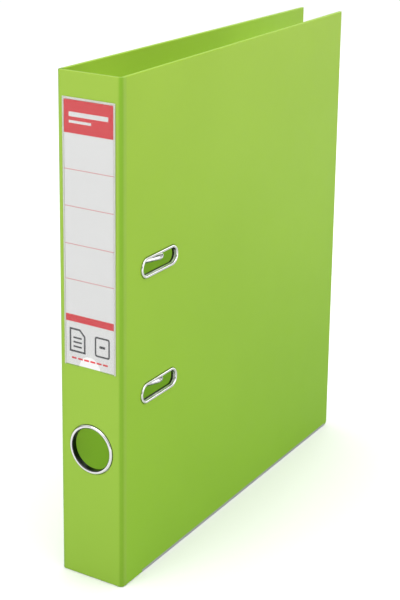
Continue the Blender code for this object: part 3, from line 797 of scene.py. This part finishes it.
def print_patch(name, outlines, finish):
    """A printed area on the label's face, from outlines in (x, millimetres down)."""
    flipped = [[(x, CARD_HIGH.z - down) for x, down in outline] for outline in outlines]
    ink = plate(name, flipped, INK_THICK, 0.005, spot(0.0, -CARD_OUT - INK_THICK / 2, 0.0), FACING_Y, 0)
    settle(ink, finish, "label", "label_paper")


def print_band(name, low, high, finish):
    """A printed band across the whole card."""
    print_patch(name, [box_outline((-CARD_HIGH.x, low), (CARD_HIGH.x, high))], finish)


def label_card():
    """The card and its plain print: a block, four rules, a bar and two plain pictograms."""
    half = CARD_HIGH.x
    rim = box_outline((-half, CARD_LOW.z), (half, CARD_TOP))
    thick = CARD_HIGH.y - CARD_LOW.y
    card = plate("label_insert", [rim], thick, 0.05, spot(0.0, -CARD_OUT + thick / 2, 0.0), FACING_Y, 1)
    settle(card, PAPER, "label", "label_paper", "label_card")
    block = box_outline((-half, CARD_HIGH.z - CARD_TOP), (half, BLOCK_FOOT))
    print_patch("print_block", [block] + [box_outline(*bar) for bar in BLOCK_BARS], INK_RED)
    for number, down in enumerate(RULES_DOWN, 1):
        print_band(f"print_rule_{number}", down, down + RULE_HIGH, INK_PINK)
    print_band("print_bar", *BAR_DOWN, INK_RED)
    print_patch("print_sheet", [SHEET_RIM, SHEET_BORE], INK_GREY)
    left, right, high = SHEET_LINE
    for number, down in enumerate(SHEET_LINES_DOWN, 1):
        print_patch(f"print_sheet_line_{number}", [box_outline((left, down), (right, down + high))], INK_GREY)
    print_patch("print_drawer", [box_outline(*DRAWER_RIM), box_outline(*DRAWER_BORE)], INK_GREY)
    print_patch("print_drawer_pull", [box_outline(*DRAWER_PULL)], INK_GREY)
    top, foot = DASH_DOWN
    for number in range(DASH_COUNT):
        left = DASH_START + number * DASH_PITCH
        print_patch(f"print_dash_{number + 1}", [box_outline((left, top), (left + DASH_LONG, foot))], INK_RED)


# ---------------------------------------------------------------- mechanism

PLATE_LOW, PLATE_HIGH = node_box("base_plate")
PLATE_BASE_X = PLATE_LOW.x
PLATE_TOP_X = -19.3
ARCH_AT = joint_point("arch_pivot") - Vector((0, SPINE_Y, 0))
LEVER_AT = joint_point("lever_pivot") - Vector((0, SPINE_Y, 0))
ROLLER_AT = joint_point("roller_spin") - Vector((0, SPINE_Y, 0))
POST_LOW, POST_HIGH = node_box("post_lower")
POST_Y = (POST_LOW.y + POST_HIGH.y) / 2 - SPINE_Y
POST_TOP_X = POST_HIGH.x
POST_R = 2.1
POST_FOOT_R = POST_R + 0.25
WIRE_R = 2.0
WIRE_TIP = 0.25
CRANK_HALF = 8.0
ELBOW_HALF = 14.0
CRANK_BEND = 3.0
POST_BORE = 1.3
PLATE_CORNER = 6.0
PLATE_EDGE = 0.25
# The base plate's two ribs, from end to end up the file, and how far they stand from the spine.
PLATE_RIBS = ((100.0, 128.0), (190.0, 218.0))
PLATE_RIB_Y = 45.0
RIB_HALF = 2.6
RIB_SINK = 0.15
RIB_RISE = 0.75
RIB_STEPS = 6
EAR_THICK = 1.2
EAR_EDGE = 0.2
EAR_SINK = 0.3
# Each pair of ears: the pivot, the distance from the file's middle, the half width and the bore.
EARS = (("arch", ARCH_AT, 33.0, 3.6, 2.25), ("lever", LEVER_AT, 6.2, 2.1, 1.25))
PIN_R = 1.1
PIN_END_R = 0.8
PIN_CHAMFER = 0.3
ROLLER_HALF = 4.0
ROLLER_R = 3.0
ROLLER_END_R = 2.6
ROLLER_BORE = 1.3
ROLLER_CHAMFER = 0.4
BAR_CORNER = 2.0
BAR_WAIST = 3.2
BAR_EYE = 12.0
BAR_NECK = 3.0
BAR_HOLE = 2.4
BAR_RIB_REACH = 26.0


def arch_wire():
    """Both arches, their pivot and crank, bent from one bright wire."""
    limb = (
        (POST_Y, POST_TOP_X - 0.7, 0.0),
        (POST_Y, POST_TOP_X + 0.6, 0.0),
        (POST_Y, 17.5, 5.0),
        (28.0, 9.8, 7.0),
        (25.5, 0.0, 12.0),
        (ARCH_AT.y, ARCH_AT.x, CRANK_BEND),
    )
    low, high = LOOP_Z
    corners = [(Vector((x, y, low)), bend) for y, x, bend in limb]
    elbow, crank = (ARCH_AT.y, ELBOW_HALF), (ROLLER_AT.y, CRANK_HALF)
    for (y, reach), sign in ((elbow, -1), (crank, -1), (crank, 1), (elbow, 1)):
        corners.append((Vector((ARCH_AT.x, y, MIDDLE_Z + sign * reach)), CRANK_BEND))
    corners += [(Vector((x, y, high)), bend) for y, x, bend in reversed(limb)]
    made = wire("arch_wire", rounded_path(corners), WIRE_R, WIRE_TIP)
    settle(made, NICKEL, "arch", "nickel_plate", "arch_bail")


def posts():
    """The two posts, each with a rolled foot and a countersunk top."""
    top = POST_TOP_X - PLATE_TOP_X
    # The countersink, the side, the rolled foot and the stud in the plate.
    section = [(0.0, top - 1.4), (0.4, top - 1.4), (1.75, top - 0.03), (1.95, top - 0.02)]
    section += [(POST_R, top - 0.2), (POST_R, 0.7), (POST_FOOT_R, 0.35), (POST_FOOT_R, 0.08)]
    section += [(POST_BORE, 0.08), (POST_BORE, -1.0), (0.0, -1.0)]
    for side, z in zip(("lower", "upper"), LOOP_Z):
        made = lathe(f"post_pin_{side}", section, spot(PLATE_TOP_X, POST_Y, z), UP_X, 48)
        settle(made, NICKEL, "back_cover", "nickel_plate", f"post_{side}")


def rivets():
    """Domed rivets through the back cover, their inner ends rolled over on the base plate."""
    face = -HALF_WIDTH
    seat = PLATE_TOP_X + 0.1 - face
    angles = [math.radians(angle) for angle in range(0, 90, 15)]
    head = [(4.0 * math.cos(angle), -0.15 - 0.75 * math.sin(angle)) for angle in angles]
    # The end rolled over on the plate, the shank, and the domed head outside.
    section = [(0.0, seat + 0.5), (0.9, seat + 0.55), (1.6, seat + 0.8), (2.4, seat + 0.65)]
    section += [(2.8, seat + 0.1), (2.7, seat), (1.6, seat), (1.6, -0.1), (3.9, -0.1)]
    section += head + [(0.0, -0.9)]
    for number, (y, z) in enumerate(RIVETS, 1):
        made = lathe(f"plate_rivet_{number}", section, spot(face, y, z), UP_X, 40)
        settle(made, NICKEL, "back_cover", "nickel_plate", f"rivet_{number}")


def ear(name, at, z, half_base, hole_radius):
    """A bearing ear that stands up from the base plate to carry a pivot."""
    x, y = at.x, at.y
    crown = arc((y, x), half_base, 0.0, 180.0, 20)
    foot = PLATE_TOP_X - EAR_SINK
    rim = [(y - half_base, foot), (y + half_base, foot)] + crown
    hole = circle((y, x), hole_radius, 40)
    made = plate(name, [rim, hole], EAR_THICK, EAR_EDGE, spot(0.0, 0.0, z), FACING_Z, 2)
    settle(made, ZINC, "back_cover", "zinc_steel")


def base_plate():
    """The pressed base plate with its stiffening ribs and bearing ears."""
    low, high = PLATE_LOW, PLATE_HIGH
    y_low, y_high = low.y - SPINE_Y, high.y - SPINE_Y
    rim = box_outline((y_low, low.z), (y_high, high.z), PLATE_CORNER)
    holes = [circle(place, RIVET_HOLE, 24) for place in RIVETS]
    thick = PLATE_TOP_X - PLATE_BASE_X
    middle = spot((PLATE_TOP_X + PLATE_BASE_X) / 2, 0.0, 0.0)
    made = plate("mechanism_plate", [rim] + holes, thick, PLATE_EDGE, middle, FACING_X, 2)
    settle(made, ZINC, "back_cover", "zinc_steel", "base_plate")
    for number, (start, end) in enumerate(PLATE_RIBS, 1):
        ridge = slot_dome(PLATE_RIB_Y, (start + end) / 2, (end - start) / 2)
        made = loft(f"plate_rib_{number}", ridge)
        settle(made, ZINC, "back_cover", "zinc_steel")
    for where, side in (("lower", -1), ("upper", 1)):
        for pivot, at, reach, half_base, bore in EARS:
            ear(f"{pivot}_ear_{where}", at, MIDDLE_Z + side * reach, half_base, bore)


def slot_dome(y, z, half):
    """Loops of a long pressed rib on the base plate."""
    loops = []
    for step in range(RIB_STEPS + 1):
        part = step / RIB_STEPS
        radius = RIB_HALF * math.sqrt(max(1.0 - part * part, 0.02))
        height = PLATE_TOP_X - RIB_SINK + RIB_RISE * part
        outline = stadium((0.0, 0.0), half - RIB_HALF, radius, 10)
        loops.append([(height, y + b + SPINE_Y, z + a) for a, b in outline])
    return loops


def lever():
    """The pressed lever: a round-shouldered channel that ends in a curled thumb tip."""
    half, wall, tip_start, taper = 5.2, 0.8, 8, 0.12
    # Each section's place along the lever, its open edge and its back.
    stations = (
        (2.3, -2.3, 5.3), (1.4, -2.3, 7.3), (0.0, -2.3, 9.0), (-1.6, -1.7, 9.2),
        (-2.3, 2.6, 9.2), (-8.0, 2.9, 9.2), (-16.0, 4.6, 9.2), (-23.0, 6.2, 9.2),
        (-26.0, 7.0, 9.7), (-28.5, 8.2, 10.4), (-30.6, 9.3, 10.9), (-31.6, 9.9, 10.6),
    )
    loops = []
    for number, (y, bottom, top) in enumerate(stations):
        width = half - taper * max(0, number - tip_start) ** 2
        deep = min(wall, (top - bottom) * 0.45)
        shoulder = min(1.3, (top - bottom) * 0.4)
        right = arc((width - shoulder, top - shoulder), shoulder, 0.0, 90.0, 6)
        outer = [(width, bottom)] + right + [(-a, b) for a, b in reversed(right)] + [(-width, bottom)]
        inside = width - wall
        inner_top = max(top - deep, bottom + 0.02)
        inner = [(-inside, bottom), (-inside, inner_top), (inside, inner_top), (inside, bottom)]
        section = outer + inner
        loops.append([(LEVER_AT.x + b, LEVER_AT.y + y + SPINE_Y, MIDDLE_Z + a) for a, b in section])
    made = loft("lever_arm", loops, angle=SMOOTH_ANGLE_FINE)
    settle(made, NICKEL, "lever", "nickel_plate", "lever")


def pins():
    """The lever's pin, the roller's pin and the roller."""
    for name, at, half, body, node in (
        ("lever_pivot_pin", LEVER_AT, 7.4, "back_cover", "lever_pin"),
        ("roller_axle", ROLLER_AT, 5.6, "lever", "roller_pin"),
    ):
        section = [(0.0, half), (PIN_END_R, half), (PIN_R, half - PIN_CHAMFER)]
        section += [(radius, -height) for radius, height in reversed(section)]
        made = lathe(name, section, spot(at.x, at.y, MIDDLE_Z), UP_Z, 32)
        settle(made, ZINC, body, "zinc_steel", node)
    outside = [(ROLLER_END_R, ROLLER_HALF), (ROLLER_R, ROLLER_HALF - ROLLER_CHAMFER)]
    section = outside + [(radius, -height) for radius, height in reversed(outside)]
    section += [(ROLLER_BORE, -ROLLER_HALF), (ROLLER_BORE, ROLLER_HALF)]
    made = lathe("lever_roller", section, spot(ROLLER_AT.x, ROLLER_AT.y, MIDDLE_Z), UP_Z, 48)
    settle(made, ZINC, "roller", "zinc_steel", "roller")


def compressor():
    """The clamp bar with its pressed rib, and its two catches."""
    low, high = node_box("compressor_bar")
    y_low, y_high = low.y - SPINE_Y, high.y - SPINE_Y
    middle_y, half = (y_low + y_high) / 2, (y_high - y_low) / 2
    low_z, high_z = LOOP_Z[0] + BAR_EYE, LOOP_Z[1] - BAR_EYE
    edge, waist, corner = middle_y + half, middle_y + BAR_WAIST, BAR_CORNER
    right = arc((edge - corner, low.z + corner), corner, -90.0, 0.0, 5)
    right += [(edge, low_z - BAR_NECK), (waist, low_z), (waist, high_z), (edge, high_z + BAR_NECK)]
    right += arc((edge - corner, high.z - corner), corner, 0.0, 90.0, 5)
    left = [(2 * middle_y - y, z) for y, z in reversed(right)]
    holes = [circle((POST_Y, z), BAR_HOLE, 40) for z in LOOP_Z]
    thick = high.x - low.x
    centre = spot((low.x + high.x) / 2, 0.0, 0.0)
    made = plate("clamp_bar", [right + left] + holes, thick, PLATE_EDGE, centre, FACING_X, 2)
    settle(made, ZINC, "compressor", "zinc_steel", "compressor_bar")
    ridge = slot_dome(middle_y, MIDDLE_Z, BAR_RIB_REACH)
    rib = loft("clamp_bar_rib", [[(x + high.x - PLATE_TOP_X, y, z) for x, y, z in loop] for loop in ridge])
    settle(rib, ZINC, "compressor", "zinc_steel")
    for side in ("lower", "upper"):
        keep_node(f"compressor_catch_{side}", SPRING)


# ---------------------------------------------------------------- stage

# The stage is in metres and watts; only EYE is in millimetres, counted like every spot of the file.
# Brightness against height in the sky, and against distance on the floor as the file mirrors it: on the floor
# a painted shadow, darkest near the file, that only rays reaching the file see.
SKY_STOPS = ((0.0, 0.75), (0.02, 0.6), (0.10, 0.25), (0.22, 0.30), (0.40, 1.0), (1.0, 1.5))
SKY_STRENGTH = 0.88
FLOOR_PAINTED_SHADOW_STOPS = ((0.0, 0.46), (0.40, 0.62), (0.75, 0.85), (1.0, 0.88))
FLOOR_PAINTED_SHADOW_CENTRE = (0.25, 0.15, 0.0)
FLOOR_RADIUS = 14.0
FLOOR_DROP = 0.0002
INNER_X, INNER_Z, INNER_HIGH = 0.003, 0.16, 0.31
# Each lamp's name, place, width and height, power, and the point that it faces.
LAMPS = [
    ("top_softbox", (0.1, -0.2, 1.7), (1.6, 1.6), 6.5, (0.05, 0.0, 0.15)),
    ("key_softbox", (-0.5, -1.9, 1.1), (1.2, 1.2), 9.5, (0.0, 0.0, 0.15)),
    ("right_softbox", (1.1, 0.1, 0.2), (0.8, 0.8), 2.6, (0.0, 0.0, 0.15)),
    ("back_softbox", (0.0, 1.6, 0.7), (1.2, 1.2), 6.0, (0.0, 0.0, 0.15)),
]
LAMPS += [
    (f"inner_fill_{name}", (INNER_X, y, INNER_Z), (width, INNER_HIGH), power, (-1.0, y, INNER_Z))
    for name, y, width, power in (
        ("near", -0.114, 0.047, 0.031),
        ("middle", -0.025, 0.130, 0.057),
        ("far", 0.090, 0.100, 0.067),
    )
]
# The camera's turns, place and lens.
YAW, PITCH, ROLL = (math.radians(angle) for angle in (32.468, 15.818, 0.757))
EYE = (514.66, -689.8, 488.84)
SENSOR = 36.0
LENS = 92.685
SHIFT_Y = -0.17
CLIP = (0.05, 60.0)


def grey_ramp(tree, value, stops):
    """A colour ramp of greys driven by a value."""
    node = tree.nodes.new("ShaderNodeValToRGB")
    while len(node.color_ramp.elements) < len(stops):
        node.color_ramp.elements.new(0.5)
    for element, (place, level) in zip(node.color_ramp.elements, stops):
        element.position = place
        element.color = (level, level, level, 1.0)
    tree.links.new(value, node.inputs["Fac"])
    return node.outputs["Color"]


def sky():
    """A soft sky with a dark band above the horizon for the metal to mirror; it looks plain by itself."""
    world = bpy.data.worlds.new("studio")
    world.use_nodes = True
    tree = world.node_tree
    around = tree.nodes["Background"]
    where = tree.nodes.new("ShaderNodeTexCoord")
    axes = tree.nodes.new("ShaderNodeSeparateXYZ")
    tree.links.new(where.outputs["Generated"], axes.inputs["Vector"])
    tree.links.new(grey_ramp(tree, axes.outputs["Z"], SKY_STOPS), around.inputs["Color"])
    around.inputs["Strength"].default_value = SKY_STRENGTH
    backdrop = tree.nodes.new("ShaderNodeBackground")
    backdrop.inputs["Color"].default_value = (*WHITE, 1.0)
    path = tree.nodes.new("ShaderNodeLightPath")
    mix = tree.nodes.new("ShaderNodeMixShader")
    tree.links.new(path.outputs["Is Camera Ray"], mix.inputs["Fac"])
    tree.links.new(around.outputs["Background"], mix.inputs[1])
    tree.links.new(backdrop.outputs["Background"], mix.inputs[2])
    tree.links.new(mix.outputs["Shader"], tree.nodes["World Output"].inputs["Surface"])
    bpy.context.scene.world = world


def floor():
    """A pale floor, with a painted shadow close to the file where the file mirrors it and takes light from
    it.
    """
    shape = bmesh.new()
    bmesh.ops.create_circle(shape, cap_ends=True, segments=96, radius=FLOOR_RADIUS)
    disc = from_bmesh("floor", shape)
    pale = Shader("pale_floor")
    pale.set(Roughness=0.9, Specular_IOR_Level=0.1)
    tone = pale.colours(pale.noise(2.0, 2.0), (0.0, (0.955, 0.955, 0.955)), (1.0, (0.97, 0.97, 0.97)))
    pale.link(tone, pale.surface.inputs["Base Color"])
    tree = pale.tree
    distance = pale.node("ShaderNodeVectorMath", operation="DISTANCE")
    distance.inputs[1].default_value = FLOOR_PAINTED_SHADOW_CENTRE
    pale.link(pale.where, distance.inputs[0])
    # Painted shadow: every ray but the camera's sees this diffuse card, darker near the painted shadow's
    # centre.
    card = pale.node("ShaderNodeBsdfDiffuse")
    pale.link(grey_ramp(tree, distance.outputs["Value"], FLOOR_PAINTED_SHADOW_STOPS), card.inputs["Color"])
    path = pale.node("ShaderNodeLightPath")
    mix = pale.node("ShaderNodeMixShader")
    pale.link(path.outputs["Is Camera Ray"], mix.inputs["Fac"])
    pale.link(card.outputs["BSDF"], mix.inputs[1])
    pale.link(pale.surface.outputs["BSDF"], mix.inputs[2])
    pale.link(mix.outputs["Shader"], tree.nodes["Material Output"].inputs["Surface"])
    disc.data.materials.append(pale.material)
    disc.location.z = -FLOOR_DROP


def lamps():
    """Softboxes above, in front, at the right and behind, and three fills inside the file."""
    for name, place, size, power, aim in LAMPS:
        data = bpy.data.lights.new(name, "AREA")
        data.shape = "RECTANGLE"
        data.size, data.size_y = size
        data.energy = power
        lamp = bpy.data.objects.new(name, data)
        lamp.location = place
        lamp.rotation_euler = (Vector(aim) - Vector(place)).to_track_quat("-Z", "Y").to_euler()
        lamp.visible_camera = False
        lamp.visible_glossy = not name.startswith("inner_fill")
        bpy.context.scene.collection.objects.link(lamp)


def camera():
    """The camera, a little above the file and to the right of its spine."""
    level = Vector((-math.sin(YAW), math.cos(YAW), 0.0))
    forward = level * math.cos(PITCH) - UP_Z * math.sin(PITCH)
    right = Vector((math.cos(YAW), math.sin(YAW), 0.0))
    up = right.cross(forward)
    right_rolled = right * math.cos(ROLL) + up * math.sin(ROLL)
    up_rolled = up * math.cos(ROLL) - right * math.sin(ROLL)
    turn = Matrix((right_rolled, up_rolled, -forward)).transposed().to_4x4()
    data = bpy.data.cameras.new("camera")
    data.sensor_width = SENSOR
    data.lens = LENS
    data.shift_y = SHIFT_Y
    data.clip_start, data.clip_end = CLIP
    eye = bpy.data.objects.new("camera", data)
    eye.matrix_world = Matrix.Translation(spot(*EYE)) @ turn
    bpy.context.scene.collection.objects.link(eye)
    bpy.context.scene.camera = eye


camera()
front_cover()
back_cover()
spine()
creases()
finger_ring()
slot_rims()
label_pocket()
label_card()
arch_wire()
posts()
rivets()
base_plate()
lever()
pins()
compressor()
keep_node("leaf_spring", SPRING)
keep_node("back_shoe", ZINC)
keep_node("front_shoe", ZINC)
sky()
floor()
lamps()
bpy.context.scene.view_settings.view_transform = "Standard"
